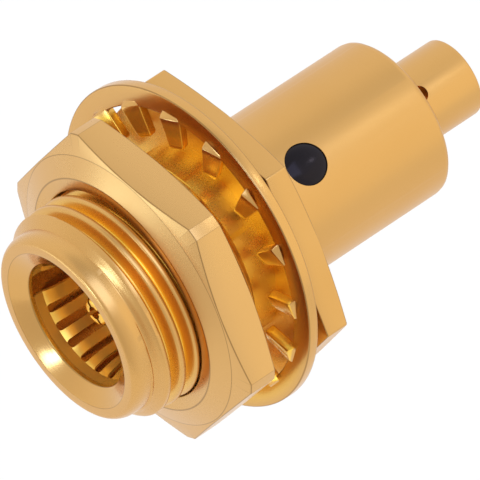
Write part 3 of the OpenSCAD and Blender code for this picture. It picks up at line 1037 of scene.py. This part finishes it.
def facing(tree, place, direction):
    """How nearly a direction of the room faces the given way, from -1 to 1."""
    node = tree.nodes.new("ShaderNodeVectorMath")
    node.operation = "DOT_PRODUCT"
    tree.links.new(place, node.inputs[0])
    node.inputs[1].default_value = direction
    return node.outputs["Value"]


def pale_world():
    """A pale room that is dimmer ahead of the mouth, overhead and below."""
    world = bpy.data.worlds.new("pale_room")
    bpy.context.scene.world = world
    world.use_nodes = True
    tree = world.node_tree
    place = tree.nodes.new("ShaderNodeTexCoord").outputs["Generated"]
    around = levels(tree, facing(tree, place, ROOM_DARK_SIDE), ROOM_AROUND)
    height = maths(tree, "ADD", facing(tree, place, (0, 0, 1)), 1.0)
    grey = [(position, (level, level, level)) for position, level in ROOM_UPWARD]
    upward = levels(tree, maths(tree, "MULTIPLY", height, 0.5), grey)
    room = mixed(tree, 1.0, around, upward, "MULTIPLY")
    background = tree.nodes["Background"]
    tree.links.new(room, background.inputs["Color"])
    background.inputs["Strength"].default_value = 1.0


class CONNECTOR_OT_stage(bpy.types.Operator):
    """Set the pale floor, the soft light and the camera"""

    bl_idname = "connector.stage"
    bl_label = "Stage"

    def execute(self, context):
        scene = context.scene
        mesh = bpy.data.meshes.new("pale_floor")
        corners = [(-1, -1), (1, -1), (1, 1), (-1, 1)]
        points = [(x * FLOOR_HALF, y * FLOOR_HALF, FLOOR_LEVEL) for x, y in corners]
        mesh.from_pydata(points, [], [(0, 1, 2, 3)])
        floor = bpy.data.objects.new("pale_floor", mesh)
        scene.collection.objects.link(floor)
        material, tree, shader = new_material("pale_floor")
        shader.inputs["Base Color"].default_value = opaque(scene.connector_colours.floor)
        shader.inputs["Roughness"].default_value = 0.9
        shader.inputs["Specular IOR Level"].default_value = 0.0
        shader.inputs["Emission Color"].default_value = (1, 1, 1, 1)
        ray = tree.nodes.new("ShaderNodeLightPath").outputs
        seen = maths(tree, "MAXIMUM", ray["Is Camera Ray"], ray["Is Glossy Ray"])
        seen = maths(tree, "MAXIMUM", seen, ray["Is Transmission Ray"])
        tree.links.new(maths(tree, "MULTIPLY", seen, FLOOR_GLOW), shader.inputs["Emission Strength"])
        mesh.materials.append(material)
        pale_world()
        for lamp in LAMPS:
            light(*lamp)
        camera_data = bpy.data.cameras.new("photo_camera")
        camera_data.sensor_width, camera_data.lens = CAMERA_SENSOR, CAMERA_LENS
        camera_data.clip_start, camera_data.clip_end = CAMERA_NEAR, CAMERA_FAR
        camera = bpy.data.objects.new("photo_camera", camera_data)
        scene.collection.objects.link(camera)
        turn = Matrix((CAMERA_RIGHT, CAMERA_UP, CAMERA_BACK)).transposed().to_4x4()
        camera.matrix_world = Matrix.Translation(CAMERA_PLACE) @ turn
        scene.camera = camera
        scene.view_settings.view_transform = "Standard"
        return {"FINISHED"}


class CONNECTOR_PT_pieces(bpy.types.Panel):
    """Lists the connector's pieces"""

    bl_idname = "CONNECTOR_PT_pieces"
    bl_label = "Coaxial connector"
    bl_space_type = "VIEW_3D"
    bl_region_type = "UI"
    bl_category = "Connector"

    def draw(self, context):
        for maker in MAKERS:
            self.layout.operator(maker.bl_idname)
        for name in ConnectorSizes.__annotations__:
            self.layout.prop(context.scene.connector_sizes, name)
        for name in ConnectorColours.__annotations__:
            self.layout.prop(context.scene.connector_colours, name)


MAKERS = (
    CONNECTOR_OT_body,
    CONNECTOR_OT_nut,
    CONNECTOR_OT_washer,
    CONNECTOR_OT_band,
    CONNECTOR_OT_contact,
    CONNECTOR_OT_epoxy,
    CONNECTOR_OT_stage,
)
CLASSES = (ConnectorSizes, ConnectorColours, *MAKERS, CONNECTOR_PT_pieces)


def register():
    for item in CLASSES:
        bpy.utils.register_class(item)
    bpy.types.Scene.connector_sizes = PointerProperty(type=ConnectorSizes)
    bpy.types.Scene.connector_colours = PointerProperty(type=ConnectorColours)


def unregister():
    del bpy.types.Scene.connector_colours
    del bpy.types.Scene.connector_sizes
    for item in reversed(CLASSES):
        bpy.utils.unregister_class(item)


def main():
    register()
    lathe_lines_group()
    plating_group()
    bpy.ops.connector.body()
    bpy.ops.connector.nut()
    bpy.ops.connector.washer()
    bpy.ops.connector.band()
    bpy.ops.connector.contact()
    bpy.ops.connector.epoxy()
    bpy.ops.connector.stage()


if __name__ == "__main__":
    main()
